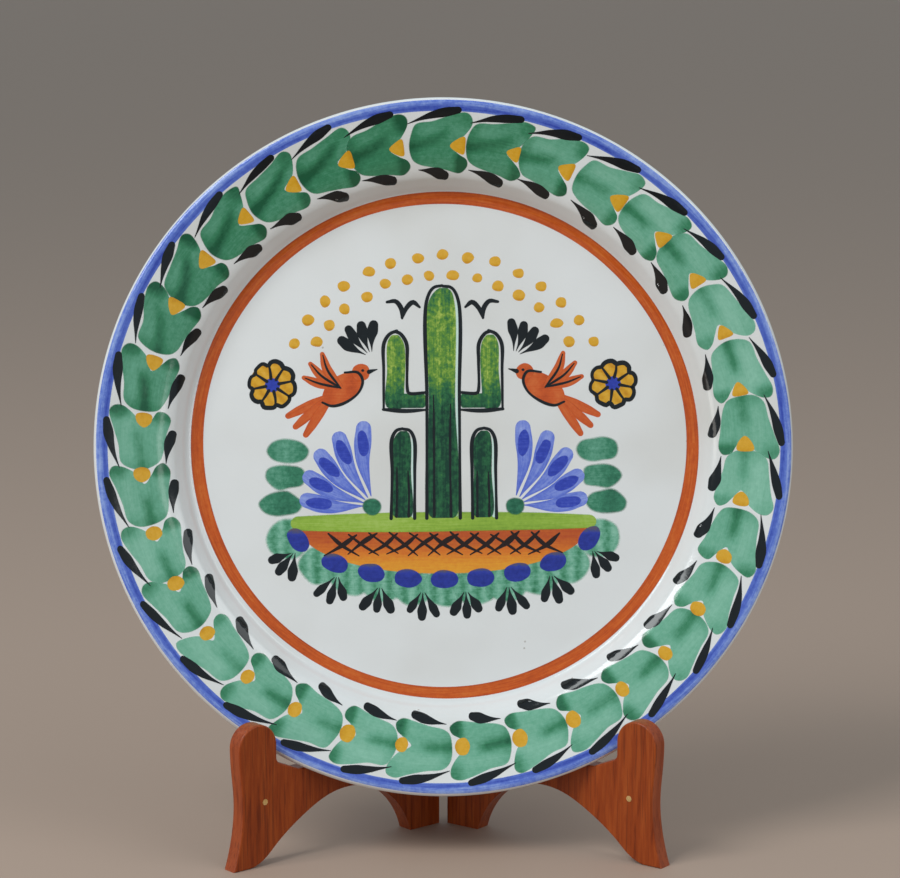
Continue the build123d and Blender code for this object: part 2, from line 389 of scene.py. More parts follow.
def plate_section():
    """(radius, depth) from the middle of the front to the middle of the back, and the count in front.

    The front rows have depth 0 here: front_depth gives them theirs.
    """
    front_radius = np.concatenate([
        np.linspace(0, 96, 33), np.linspace(97, 122, 76),
        np.linspace(123.5, 146, 16), np.linspace(146.6, 149.4, 8),
    ])
    runs = [
        np.column_stack([front_radius, np.zeros(len(front_radius))]),
        dense([FRONT_SECTION[-1]] + LIP_SECTION + [BACK_SECTION[0]], 0.4)[1:],
        dense(BACK_SECTION, 1.5)[1:],
        dense([BACK_SECTION[-1]] + RING_SECTION, 0.35)[1:],
        dense([RING_SECTION[-1]] + BASE_SECTION, 6.0)[1:],
    ]
    return np.vstack(runs), len(front_radius)


def plate_faces(rows, turns):
    """Rings of faces between the rows, then the fans that close the front and the back."""
    faces = []
    for i in range(rows - 1):
        a = i * turns
        for j in range(turns):
            k = (j + 1) % turns
            faces.append((a + turns + j, a + turns + k, a + k, a + j))
    top, bottom = rows * turns, rows * turns + 1
    last = (rows - 1) * turns
    for j in range(turns):
        k = (j + 1) % turns
        faces.append((top, j, k))
        faces.append((bottom, last + k, last + j))
    return faces


def make_plate():
    turns = 360
    section, front_count = plate_section()
    angle = np.arange(turns) * 2 * math.pi / turns
    x = section[:, :1] * np.cos(angle)
    y = section[:, :1] * np.sin(angle)
    ripple = front_depth(x, y) - smooth_curve(*np.array(FRONT_SECTION).T, np.hypot(x, y))
    depth = np.repeat(section[:, 1:], turns, axis=1) + ripple
    depth[:front_count] = front_depth(x[:front_count], y[:front_count])
    points = on_plate(x[1:-1], y[1:-1], depth[1:-1]).reshape(-1, 3)
    middle = on_plate([0, 0], [0, 0], [depth[0, 0], depth[-1, 0]])
    radius_of_row, depth_of_row = section[1:-1].T
    faces = plate_faces(len(radius_of_row), turns)
    mesh = bpy.data.meshes.new("plate_body")
    mesh.from_pydata(np.vstack([points, middle]).tolist(), [], faces)
    mesh.materials.append(make_glaze())
    mesh.materials.append(make_bare_clay())
    bare = (radius_of_row > BARE_RING[0]) & (radius_of_row < BARE_RING[1]) & (depth_of_row < BARE_DEPTH)
    material = np.zeros(len(faces), np.int32)
    for i in range(len(bare) - 1):
        if bare[i] and bare[i + 1]:
            material[i * turns:(i + 1) * turns] = 1
    mesh.polygons.foreach_set("material_index", material)
    mesh.polygons.foreach_set("use_smooth", np.ones(len(faces), bool))
    mesh.update()
    plate = add_object("plate_body", mesh)
    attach(plate, "plate")
    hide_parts("plate")


# ------------ brush strokes
FIRST_LIFT = 0.03  # mm that the lowest colour stands above the glaze
LAYER_LIFT = 0.02  # from one layer to the next
STROKE_LIFT = 0.0004  # from one stroke to the next, so that neighbours never lie at one height
STROKE_CYCLE = 60  # strokes before the heights start again


def even(tone):
    """The same tone all over a patch."""
    return lambda place: np.full(len(place), tone)


def sheet_faces(rows, columns):
    """Faces of a sheet of points listed row after row."""
    faces = []
    for i in range(rows - 1):
        for j in range(columns - 1):
            a = i * columns + j
            faces.append((a, a + 1, a + columns + 1, a + columns))
    return faces


class Paint:
    """Strokes of one colour on one layer, gathered into one piece."""

    def __init__(self, name, material, layer):
        self.name = name
        self.material = material
        self.layer = layer
        self.parts = []
        self.faces = []
        self.count = 0
        self.strokes = 0

    def keep(self, place, tone, cover, grain, faces):
        self.strokes += 1
        lift = FIRST_LIFT + self.layer * LAYER_LIFT + (self.strokes % STROKE_CYCLE) * STROKE_LIFT
        # a third grain coordinate of its own gives each stroke its own streaks
        seed = self.strokes * 7.31 + self.layer * 3.7
        every = np.ones(len(place))
        self.parts.append(np.column_stack([place, every * lift, tone, cover, grain, every * seed]))
        self.faces += [tuple(i + self.count for i in face) for face in faces]
        self.count += len(place)

    def stroke(self, points, widths, tones=(0.5, 0.5), rim=0.0, feather=0.4, spacing=0.8, warp=None):
        """A brush stroke along a path: widths and tones are read evenly along it."""
        path = smooth_path(points, spacing)
        t = np.linspace(0, 1, len(path))
        half = smooth_curve(np.linspace(0, 1, len(widths)), np.array(widths) / 2, t)
        shade = smooth_curve(np.linspace(0, 1, len(tones)), tones, t)
        ahead = np.gradient(path, axis=0)
        ahead /= np.hypot(*ahead.T)[:, None] + 1e-9
        cap = np.radians([8, 28, 50, 72])
        first = [(path[0] - ahead[0] * half[0] * np.cos(c), ahead[0], half[0] * np.sin(c), shade[0])
                 for c in cap]
        body = list(zip(path, ahead, half, shade))
        last = [(path[-1] + ahead[-1] * half[-1] * np.cos(c), ahead[-1], half[-1] * np.sin(c), shade[-1])
                for c in cap[::-1]]
        rows = first + body + last
        wide = max(half) > 0.9
        place, tone, cover, grain = [], [], [], []
        run = 0.0
        for i, (p, a, h, s) in enumerate(rows):
            if i:
                run += math.dist(p, rows[i - 1][0])
            inner = max(h - feather, 0.45 * h)
            if wide:
                across = np.array([-h, -inner, -inner / 3, inner / 3, inner, h])
            else:
                across = np.array([-h, -inner * 0.8, inner * 0.8, h])
            side = np.array([-a[1], a[0]])
            for q in across:
                place.append(p + side * q)
                edge = abs(q) / h if h > 1e-6 else 1.0
                tone.append(s + rim * edge**3)
                at_end = i in (0, len(rows) - 1)
                cover.append(0.0 if edge > 0.99 or at_end else 1.0)
                grain.append((run, q))
        faces = [face[::-1] for face in sheet_faces(len(rows), len(across))]
        place = np.array(place)
        if warp is not None:
            place = warp(place)
        self.keep(place, tone, cover, grain, faces)

    def patch(self, outline, shade=even(0.5), feather=0.5, centre=None, spacing=0.9, warp=None,
              rings=(0.3, 0.55, 0.75, 0.9)):
        """A filled patch: a closed outline seen whole from its centre, shaded by a function of place."""
        edge = smooth_path(outline, spacing, closed=True)
        middle = np.mean(edge, axis=0) if centre is None else np.array(centre, float)
        reach = np.hypot(*(edge - middle).T)
        inset = np.clip(1 - feather / reach, 0.3, 1)[:, None]
        layers = [middle + (edge - middle) * inset * ring for ring in rings]
        layers += [middle + (edge - middle) * inset, edge]
        place = np.vstack([[middle], *layers])
        count = len(edge)
        cover = np.concatenate([np.ones(1 + count * (len(layers) - 1)), np.zeros(count)])
        faces = []
        turned = np.sum(np.cross(edge - middle, np.roll(edge, -1, axis=0) - middle)) > 0
        for j in range(count):
            k = (j + 1) % count
            faces.append((0, 1 + j, 1 + k))
            for i in range(len(layers) - 1):
                a = 1 + i * count
                faces.append((a + j, a + count + j, a + count + k, a + k))
        if not turned:
            faces = [face[::-1] for face in faces]
        surface = place if warp is None else warp(place)
        self.keep(surface, shade(place), cover, place, faces)

    def patch_column(self, outline, tone_at, feather=0.5):
        """A tall shape, filled by level rows between its left and right edges."""
        edge = smooth_path(outline, 0.7, closed=True)
        low, high = edge[:, 1].min(), edge[:, 1].max()
        levels = np.linspace(low + 0.02, high - 0.02, max(int((high - low) / 1.2), 6))
        levels = np.concatenate([[low], [low + feather], levels[(levels > low + 1) & (levels < high - 1)],
                                 [high - feather], [high]])
        share = np.array([0.0, 0.07, 0.25, 0.42, 0.58, 0.75, 0.93, 1.0])
        place, cover = [], []
        for i, y in enumerate(levels):
            near = np.clip(y, low + 0.25, high - 0.25)
            crossing = []
            for p, q in zip(edge, np.roll(edge, -1, axis=0)):
                if (p[1] - near) * (q[1] - near) <= 0 and p[1] != q[1]:
                    crossing.append(p[0] + (q[0] - p[0]) * (near - p[1]) / (q[1] - p[1]))
            left, right = min(crossing), max(crossing)
            for s in share:
                place.append((left + (right - left) * s, y))
                cover.append(0.0 if s in (0.0, 1.0) or i in (0, len(levels) - 1) else 1.0)
        place = np.array(place)
        faces = sheet_faces(len(levels), len(share))
        self.keep(place, tone_at(place[:, 0], place[:, 1]), cover, place[:, ::-1], faces)

    def finish(self):
        rows = np.vstack(self.parts)
        x, y, lift = rows[:, 0], rows[:, 1], rows[:, 2]
        verts = on_plate(x, y, front_depth(x, y)) + front_normal(x, y) * lift[:, None] * MM
        mesh = bpy.data.meshes.new(self.name)
        mesh.from_pydata(verts.tolist(), [], self.faces)
        for name, column in (("tone", 3), ("cover", 4)):
            layer = mesh.attributes.new(name, "FLOAT", "POINT")
            layer.data.foreach_set("value", rows[:, column].astype(np.float32))
        grain = mesh.attributes.new("grain", "FLOAT_VECTOR", "POINT")
        grain.data.foreach_set("vector", rows[:, 5:8].astype(np.float32).ravel())
        mesh.materials.append(self.material)
        mesh.polygons.foreach_set("use_smooth", np.ones(len(self.faces), bool))
        mesh.update()
        mesh.normals_split_custom_set_from_vertices(front_normal(x, y).tolist())
        piece = add_object(self.name, mesh)
        # colour under a glaze casts no shadow on it
        piece.visible_shadow = False
        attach(piece, "plate")


# ------------ colours, washed to pooled
BLACK = shades((0.0, 34, 40, 44), (0.5, 14, 19, 23), (1.0, 4, 7, 10))
ORANGE = shades((0.0, 214, 116, 44), (0.5, 196, 84, 20), (1.0, 160, 60, 14))
BLUE_BAND = shades((0.0, 150, 172, 224), (0.45, 92, 117, 202), (1.0, 50, 71, 170))
MINT = shades((0.0, 146, 198, 176), (0.4, 102, 166, 138), (0.7, 56, 128, 92), (1.0, 20, 86, 56))
YELLOW = shades((0.0, 230, 180, 74), (0.5, 212, 158, 34), (1.0, 182, 114, 16))
CACTUS = shades((0.0, 170, 192, 84), (0.3, 96, 142, 48), (0.6, 40, 104, 62), (1.0, 8, 56, 40))
MIST = shades((0.0, 206, 226, 220), (1.0, 170, 212, 196))
GRASS = shades((0.0, 178, 202, 108), (0.5, 144, 178, 62), (1.0, 104, 142, 40))
EARTH = shades((0.0, 228, 158, 42), (0.5, 214, 116, 34), (1.0, 182, 78, 32))
LIGHT_BLUE = shades((0.0, 150, 166, 226), (0.5, 98, 118, 208), (1.0, 54, 74, 184))
HATCH = shades((0.0, 44, 20, 14), (1.0, 14, 6, 6))
BEAD = shades((0.0, 110, 88, 70), (0.35, 70, 74, 124), (0.6, 44, 58, 162), (1.0, 26, 38, 126))
DEEP_BLUE = shades((0.0, 88, 106, 204), (0.5, 48, 66, 176), (1.0, 26, 38, 134))
RUST = shades((0.0, 216, 120, 60), (0.5, 200, 86, 32), (1.0, 162, 58, 16))
TEAL = shades((0.0, 110, 170, 146), (0.5, 58, 128, 98), (1.0, 18, 82, 58))

# ------------ drawing helpers
rng = np.random.default_rng(11)


def jitter(size):
    return float(rng.uniform(-size, size))


def ease(value, low, high):
    """0 below low, 1 above high, smooth between."""
    t = np.clip((value - low) / (high - low), 0, 1)
    return t * t * (3 - 2 * t)


def drop(paint, tail, head, width, bend=0.0, tone=0.55):
    """A teardrop stroke: thin where the brush lifts, round and thick at the head."""
    tail, head = np.array(tail, float), np.array(head, float)
    run = head - tail
    across = np.array([-run[1], run[0]])
    middle = (tail + head) / 2 + across * bend
    # the head's round end reaches past the last point, so the path stops short of the head
    head = head - run / np.hypot(*run) * width * 0.36
    widths = [0.35, 0.28 * width, 0.66 * width, width, 0.84 * width]
    paint.stroke([tail, middle, head], widths, tones=(tone - 0.1, tone, tone + 0.1), feather=0.3)


# ------------ rim
GARLAND_RADIUS = 129.0
GARLAND_START = math.radians(96.5)
UNITS = 33
DARKEST_LEAVES = math.radians(125)  # the leaves are darkest round this angle
BAND_RADII = (143.9, 148.9)
RING_RADII = (104.6, 110.2)
RING_MIDDLE = (0.7, 1.0)  # the ring is turned slightly off centre


def rim_warp(start):
    """Turns (distance along, distance out) into plate places, clockwise from an angle."""
    def warp(place):
        angle = start - place[:, 0] / GARLAND_RADIUS
        radius = GARLAND_RADIUS + place[:, 1]
        return np.column_stack([radius * np.cos(angle), radius * np.sin(angle)])
    return warp


def paint_ring(paint, radii, tone_at, wobble, middle=(0.0, 0.0), columns=9, turns=300):
    """A band turned on the wheel, its edges wandering a little round the place given as its middle."""
    inner, outer = radii
    angle = np.arange(turns) * 2 * math.pi / turns
    wander_in = wobble * (0.6 * np.sin(3 * angle + 1.1) + 0.4 * np.sin(7 * angle + 0.4))
    wander_out = wobble * (0.6 * np.sin(2 * angle + 2.6) + 0.4 * np.sin(5 * angle + 1.9))
    share = np.concatenate([[0.0, 0.08], np.linspace(0.2, 0.8, columns - 4), [0.92, 1.0]])
    low, high = inner + wander_in, outer + wander_out
    radius = low + (high - low) * share[:, None]
    place = np.column_stack([(radius * np.cos(angle)).ravel(), (radius * np.sin(angle)).ravel()]) + middle
    cover = np.repeat(np.where((share == 0) | (share == 1), 0.0, 1.0), turns)
    unevenness = np.tile(np.sin(angle * 9) * np.sin(angle * 4 + 1), columns)
    tone = np.repeat(tone_at(share), turns) + 0.08 * unevenness
    grain = np.column_stack([np.tile(angle * inner, columns), radius.ravel()])
    faces = []
    for i in range(columns - 1):
        for j in range(turns):
            k = (j + 1) % turns
            faces.append((i * turns + j, (i + 1) * turns + j, (i + 1) * turns + k, i * turns + k))
    paint.keep(place, tone, cover, grain, faces)


def leaf_outline():
    """Two-lobed leaf, its base at 0 along: wider on the rim's outer side."""
    return [
        (0.6 + jitter(0.5), -5.4), (-0.9, 0.2), (0.3 + jitter(0.5), 6.4), (3.0, 10.0 + jitter(0.4)),
        (10.0, 11.2 + jitter(0.5)), (17.0, 13.3 + jitter(0.6)), (23.0 + jitter(0.8), 15.0 + jitter(0.4)),
        (26.0 + jitter(0.7), 13.4), (26.0 + jitter(0.6), 10.0), (22.8, 4.2),
        (17.6 + jitter(0.6), 0.5 + jitter(0.5)), (21.4, -3.2), (24.8 + jitter(0.5), -5.4),
        (25.6 + jitter(0.6), -8.4 + jitter(0.4)), (22.6, -11.0 + jitter(0.4)), (15.5, -10.2),
        (8.5, -9.0 + jitter(0.4)), (3.2, -7.6),
    ]


def leaf_shade(depth, vein, bend, reach, inner_pool, outer_pool):
    """Tone over one leaf: a wet streak from the base, and paint pooled at both lobe tips."""
    def shade(place):
        a, q = place[:, 0], place[:, 1]
        middle = 0.4 + bend * 10 * (np.clip(a, 0, 24) / 22) ** 1.6
        streak = vein * np.exp(-((q - middle) / 2.5) ** 2) * (1 - ease(a, reach - 7, reach))
        base = 0.12 * (1 - ease(a, 0, 5))
        inner = inner_pool * ease(a, 18.0, 22.5) * (1 - ease(q, -5, -1))
        outer = outer_pool * ease(a, 18.5, 24.5) * ease(q, 4, 9)
        pale = 0.12 * np.exp(-((q - 6.5) / 3.5) ** 2) * ease(a, 2, 8)
        return depth + streak + base + inner + outer - pale
    return shade


def paint_leaf(leaves, start, warp):
    # the leaves grow darker, with longer and more bent streaks, the nearer they lie to DARKEST_LEAVES
    full = ease(math.cos(start - DARKEST_LEAVES), 0.25, 0.95)
    depth = 0.32 + 0.34 * full + jitter(0.07)
    bend = 0.1 + 0.8 * full + jitter(0.15)
    reach = 15.5 + 7 * full + jitter(2)
    vein = 0.34 + jitter(0.14)
    inner_pool = 0.42 + jitter(0.16)
    outer_pool = 0.28 + jitter(0.24)
    shade = leaf_shade(depth, vein, bend, reach, inner_pool, outer_pool)
    leaves.patch(leaf_outline(), shade, feather=1.0, centre=(12.0, 0.6), warp=warp,
                 rings=(0.18, 0.34, 0.5, 0.64, 0.77, 0.88, 0.95))


def paint_leaf_dot(dots, start, warp):
    """A dot between the lobes: three-cornered at the top of the plate, rounder towards the bottom."""
    a, q, size = 20.9 + jitter(0.5), 0.6 + jitter(0.5), 4.1 + jitter(0.4)
    plump = 0.16 * ease(-math.sin(start), -0.5, 0.6)
    outline = [
        (a - (0.95 - plump) * size, q + jitter(0.4)),
        (a - (0.2 + plump) * size, q + (0.68 + plump) * size),
        (a + (0.6 - plump) * size, q + (0.96 - plump) * size),
        (a + (0.75 + 0.4 * plump) * size, q),
        (a + (0.6 - plump) * size, q - (0.9 - plump) * size),
        (a - (0.2 + plump) * size, q - (0.7 + plump) * size),
    ]
    dots.patch(outline, lambda p: 0.42 + 0.3 * ease(p[:, 0], 21, 25), feather=0.5, warp=warp, spacing=0.7)


def paint_leaf_strokes(black, warp):
    """One stroke along each side of a leaf, first the inner and then the outer."""
    tilt = jitter(1.0)
    inner = [(2.2 + jitter(0.8), -9.4), (9.0, -10.6 + tilt * 0.4), (16.2 + jitter(1.4), -12.6 + tilt)]
    widths = [0.4, 1.7, 3.5, 4.9 + jitter(0.5), 3.8]
    black.stroke(inner, widths, tones=(0.45, 0.6, 0.7), feather=0.3, warp=warp)
    tilt = jitter(0.7)
    outer = [(0.6 + jitter(0.8), 10.2), (9.5, 13.2 + tilt * 0.3), (18.6 + jitter(1.6), 15.6 + tilt)]
    widths = [0.4, 1.6, 3.2, 4.3 + jitter(0.5), 3.2]
    black.stroke(outer, widths, tones=(0.45, 0.6, 0.7), feather=0.3, warp=warp)


def paint_rim():
    leaves = Paint("garland_leaves", make_pigment("leaf_green", MINT, streaks=0.1, mottle=0.14), 1)
    dots = Paint("garland_dots", make_pigment("dot_yellow", YELLOW, streaks=0.1, mottle=0.25), 2)
    black = Paint("garland_strokes", make_pigment("rim_black", BLACK, streaks=0.4, mottle=0.2), 4)
    for i in range(UNITS):
        start = GARLAND_START - i * 2 * math.pi / UNITS + jitter(0.008)
        warp = rim_warp(start)
        paint_leaf(leaves, start, warp)
        paint_leaf_dot(dots, start, warp)
        paint_leaf_strokes(black, warp)
    band = Paint("blue_band", make_pigment("band_blue", BLUE_BAND, streaks=0.5, mottle=0.3), 3)
    paint_ring(band, BAND_RADII, lambda s: 0.3 + 0.55 * np.exp(-((s - 0.28) / 0.2) ** 2), 0.35)
    ring = Paint("orange_ring", make_pigment("ring_orange", ORANGE, streaks=0.55, mottle=0.25), 0)
    paint_ring(ring, RING_RADII, lambda s: 0.45 + 0.35 * (2 * abs(s - 0.5)) ** 3, 0.3, RING_MIDDLE)
    return [dots, leaves, band, ring, black]


# ------------ middle of the dish
# A symmetrical scene of ordinary folk motifs: each group is laid out on one side and mirrored.
SIDES = (-1, 1)
TRUNK_HALF = 7.0
SHORT_STEM = 17.5  # from the middle
STEM_FOOT = -30.0
ARM_NEAR, ARM_FAR = 15.5, 25.5
ARM_ELBOW, ARM_THICK, ARM_TOP = 16.0, 7.5, 50.0
GROUND_HALF = 63.0
GROUND_TOP = -34.5
BOWL_DROP = 21.0
AGAVE_FOOT = (31.0, -26.0)
BIRD_PLACE = (44.0, 25.0)
DAISY_PLACE = (74.0, 27.0)
SPRIG_FOOT = (31.0, 38.5)
SKY_MIDDLE = (0.0, 8.0)


def cactus_tone(x, y):
    return 0.88 - 0.58 * ease(y, 12, 34) + 0.2 * ease(y, 56, 70) + 0.1 * np.sin(0.9 * x)


def round_shape(centre, across, down, turn=0.0, points=10, rough=0.05):
    """An uneven ellipse with the given half sizes."""
    outline = []
    for k in range(points):
        angle = 2 * math.pi * k / points
        swell = 1 + jitter(rough)
        x, y = across * math.cos(angle) * swell, down * math.sin(angle) * swell
        outline.append((centre[0] + x * math.cos(turn) - y * math.sin(turn),
                        centre[1] + x * math.sin(turn) + y * math.cos(turn)))
    return outline


def paint_stem(green, black, mist, x, half, top):
    """One upright stem: green fill, pale right edge, black outline and two ribs."""
    foot = STEM_FOOT
    middle = (foot + top) / 2
    fill = [(x - half + 0.5, foot), (x - half + 0.4, middle), (x - half + 0.6, top - half),
            (x - 0.2 * half, top - 1.1), (x + 0.5 * half, top - 1.8), (x + half - 1.3, top - half - 1),
            (x + half - 1.4, middle), (x + half - 1.2, foot), (x, foot - 1.0)]
    green.patch_column(fill, cactus_tone)
    mist.stroke([(x + half - 0.8, foot), (x + half - 0.7, top - half)], [1.8, 1.8], tones=(0.3, 0.1))
    for side in SIDES:
        line = [(x + side * half + jitter(0.4), foot - 1), (x + side * half + jitter(0.25), middle),
                (x + side * (half - 0.2), top - half * 0.9), (x + side * half * 0.55, top - 0.9),
                (x + side * 0.2, top - 0.1 + jitter(0.3))]
        black.stroke(line, [1.7, 1.4, 1.6, 1.9, 1.5], feather=0.22)
    for rib in (-0.6, 0.44):
        reach = foot + (top - foot) * (0.5 + jitter(0.07))
        line = [(x + rib * half, foot), (x + rib * half + jitter(0.3), (foot + reach) / 2),
                (x + rib * half + jitter(0.4), reach)]
        black.stroke(line, [1.6, 1.1, 1.4, 0.7], feather=0.25)


def paint_arm(green, black, side):
    """One arm of the tall cactus: a short bar out from the trunk and a column up from it."""
    half = (ARM_FAR - ARM_NEAR) / 2
    high = ARM_TOP - half
    bar_top = ARM_ELBOW + ARM_THICK
    mid = (ARM_ELBOW + ARM_TOP) / 2
    column = [(ARM_NEAR + 1.1, bar_top + 1), (ARM_NEAR + 1.2, high), (ARM_NEAR + half * 0.8, ARM_TOP - 1.4),
              (ARM_FAR - half * 0.6, ARM_TOP - 1.8), (ARM_FAR - 1.2, high), (ARM_FAR - 1.0, mid),
              (ARM_FAR - 0.9, ARM_ELBOW + 1.2), (ARM_NEAR + 2, ARM_ELBOW + 1.0)]
    bar = [(TRUNK_HALF + 0.4, ARM_ELBOW + 1.2), (TRUNK_HALF + 0.4, bar_top - 0.9), (ARM_NEAR, bar_top - 0.7),
           (ARM_FAR - 2.0, bar_top - 0.8), (ARM_FAR - 1.2, ARM_ELBOW + 1.4), (ARM_NEAR, ARM_ELBOW + 0.9)]
    inside = [(TRUNK_HALF, bar_top), (ARM_NEAR - 0.6, bar_top - 0.2), (ARM_NEAR, bar_top + 1.8),
              (ARM_NEAR, high - 8), (ARM_NEAR + 0.3, high), (ARM_NEAR + half * 0.6, ARM_TOP - 0.8),
              (ARM_NEAR + half, ARM_TOP)]
    outside = [(ARM_NEAR + half * 0.9, ARM_TOP + 0.3), (ARM_FAR - half * 0.5, ARM_TOP - 1.0), (ARM_FAR, high),
               (ARM_FAR + 0.2, mid), (ARM_FAR + 0.3, ARM_ELBOW + 0.4)]
    under = [(ARM_FAR + 0.4, ARM_ELBOW + 0.2), (ARM_NEAR + 1, ARM_ELBOW - 0.5), (TRUNK_HALF - 0.2, ARM_ELBOW)]
    for fill in (column, bar):
        green.patch_column([(side * x, y) for x, y in fill], cactus_tone)
    for line, widths in ((inside, [1.4, 1.7, 1.4, 1.6, 1.9, 1.7]), (outside, [1.6, 1.9, 1.5, 1.4, 1.2]),
                         (under, [1.5, 2.1, 1.9, 1.0])):
        black.stroke([(side * x, y) for x, y in line], widths, feather=0.22)


def paint_cactus(green, black, mist):
    paint_stem(green, black, mist, 0.0, TRUNK_HALF, 70.0)
    for side in SIDES:
        paint_stem(green, black, mist, side * SHORT_STEM, 5.0, 8.0)
        paint_arm(green, black, side)


def on_bowl(turn, out):
    """A place so far outside the earth's curved lower edge; turn runs from 0 at the right to pi."""
    return (GROUND_HALF + out) * math.cos(turn), GROUND_TOP - (BOWL_DROP + out) * math.sin(turn)


def bowl_turns(count, share):
    """Turns spaced evenly across the given share of the bowl's width."""
    return np.arccos(np.linspace(-share, share, count))


def bowl_slope(turn):
    """Angle of the bowl's lower edge, which is also the lean of a stroke square to it."""
    return math.atan2(BOWL_DROP * math.cos(turn), GROUND_HALF * math.sin(turn))


def paint_scallops(scallops):
    """Overlapping rounds that show below the bowl's curved edge."""
    for turn in bowl_turns(11, 0.98):
        scallops.patch(round_shape(on_bowl(turn, 5.5), 10.6, 9.6), lambda p: 0.42 + 0.2 * np.sin(p[:, 0]),
                       feather=3.0, rings=(0.3, 0.6, 0.85))


def paint_earth(earth, grass):
    """The bowl of earth, dark under the grass and paler below, and the grass along its top."""
    bowl = [on_bowl(turn, 0.0) for turn in np.linspace(math.pi, 0, 11)]
    bowl += [(x, GROUND_TOP) for x in (35, 0, -35)]
    earth.patch(bowl, lambda p: 0.95 - 0.85 * ease(-p[:, 1], 38, 53), feather=1.2, centre=(0, -40),
                spacing=1.5, rings=(0.25, 0.45, 0.62, 0.76, 0.87, 0.95))
    line = [(x, -32.6 + jitter(0.5)) for x in np.linspace(-GROUND_HALF, GROUND_HALF, 5)]
    grass.stroke(line, [7.0, 8.8, 9.4, 9.0, 8.4, 6.6], tones=(0.5, 0.35, 0.5, 0.6, 0.4), rim=0.25,
                 feather=1.0, spacing=2.0)


def paint_hatching(hatch):
    """Crosses over the earth; the strokes that lean right are the thicker ones."""
    for x in np.linspace(-44, 44, 11):
        for side, thick in ((-1, 2.5), (1, 1.6)):
            line = [(x - side * 6, -37.6 + jitter(0.8)), (x + jitter(1.0), -42.4 + jitter(0.6)),
                    (x + side * (7 + jitter(1.0)), -46.6 + jitter(0.6))]
            hatch.stroke(line, [1.0, thick + jitter(0.5), 1.5, 0.7], feather=0.25)


def paint_beads(beads):
    for turn in bowl_turns(9, 0.97):
        x, level = on_bowl(turn, 2.0)
        bead = round_shape((x, level), 6.2, 4.3, bowl_slope(turn))
        beads.patch(bead, lambda p: 0.8 - 0.6 * ease(p[:, 1] - level, 1.0, 4.4), feather=0.6,
                    rings=(0.35, 0.65, 0.85))


def paint_tufts(black):
    """Three teardrops at each place, fanned about the direction square to the bowl's edge."""
    for turn in bowl_turns(8, 0.92):
        x, y = on_bowl(turn, 8.0)
        for lean in (-0.6, 0.0, 0.6):
            way = bowl_slope(turn) + lean
            reach = 11.5 + jitter(1.2)
            tip = (x + math.sin(way) * reach, y - math.cos(way) * reach)
            drop(black, (x + 1.5 * lean, y), tip, 4.4 + jitter(0.5))


def paint_agaves(light, deep, teal):
    """A fan of five leaves on each side, shorter towards the ground."""
    for side in SIDES:
        foot = np.array([side * AGAVE_FOOT[0], AGAVE_FOOT[1]])
        for k in range(5):
            lean = math.radians(6 + 19.5 * k)
            run = (37.5 - 1.6 * k) * np.array([side * math.sin(lean), math.cos(lean)])
            sag = 0.05 * side * np.array([run[1], -run[0]])
            line = [foot + run * 0.13, foot + run * 0.55 + sag, foot + run * 0.91]
            light.stroke(line, [0.6, 2.7, 4.9, 6.7, 7.8, 6.9], tones=(0.6, 0.45, 0.35, 0.3, 0.2), rim=0.28,
                         feather=0.35)
            deep.patch(round_shape(foot + run * 0.74 + sag * 0.5, 6.2, 2.8, math.atan2(run[1], run[0])),
                       feather=1.0, rings=(0.4, 0.75))
        teal.patch(round_shape(foot, 4.8, 4.4), even(0.75), feather=1.6, rings=(0.4, 0.75))


def paint_bushes(teal):
    for side in SIDES:
        for k in range(3):
            middle = side * (67.0 + 1.8 * k)
            depth = 0.4 + 0.1 * k
            teal.patch(round_shape((middle, -1.5 - 11.4 * k), 9.8, 6.4, rough=0.08),
                       lambda p: depth + 0.14 * np.cos((p[:, 0] - middle) * 0.35 + depth * 9), feather=2.6,
                       rings=(0.3, 0.55, 0.78, 0.92))


def paint_bird(rust, black, side):
    """A small plump bird looking in at the cactus, its wing raised and its tail fanned."""
    def at(points):
        return [(side * (BIRD_PLACE[0] + x), BIRD_PLACE[1] + y) for x, y in points]

    for k in range(3):
        droop = math.radians(-26 - 17 * k)
        tip = (6 + 19 * math.cos(droop), -3 + 19 * math.sin(droop))
        rust.stroke(at([(4.0, -2.4), ((tip[0] + 4) / 2, (tip[1] - 2) / 2), tip]), [2.6, 3.6, 4.4, 4.2, 3.0],
                    tones=(0.55, 0.4, 0.5), rim=0.2)
    body = round_shape((0, 0), 10.4, 5.8, turn=-0.6, points=9)
    rust.patch(at(body), lambda p: 0.5 + 0.15 * np.sin(p[:, 0] * 0.6), feather=0.5)
    rust.patch(at(round_shape((-8.4, 7.4), 4.2, 3.9, points=8)), feather=0.5)
    for k in range(3):
        rise = math.radians(12 + 25 * k)
        tip = (1 + 15.5 * math.cos(rise), 2 + 15 * math.sin(rise))
        half_way = (1 + 9 * math.cos(rise - 0.12), 2 + 8 * math.sin(rise - 0.12))
        rust.stroke(at([(0.6, 1.6), half_way, tip]), [2.2, 3.8, 4.6, 4.0, 2.4], tones=(0.5, 0.35, 0.45),
                    rim=0.2)
        line = [(0.4, 0.6), half_way, (tip[0] * 0.97, tip[1] * 0.97)]
        black.stroke(at(line), [0.8, 1.4, 1.2, 0.7], feather=0.22)
    black.stroke(at(body[3:] + body[:1]), [1.2, 1.6, 1.3, 1.7, 1.2], feather=0.22)
    black.stroke(at([(-12.0, 7.6), (-13.8, 8.2), (-15.4, 8.6)]), [2.2, 1.4, 0.6], feather=0.22)
    black.patch(at(round_shape((-9.2, 8.2), 0.8, 0.7, points=6)), feather=0.2, rings=(0.5,), spacing=0.4)


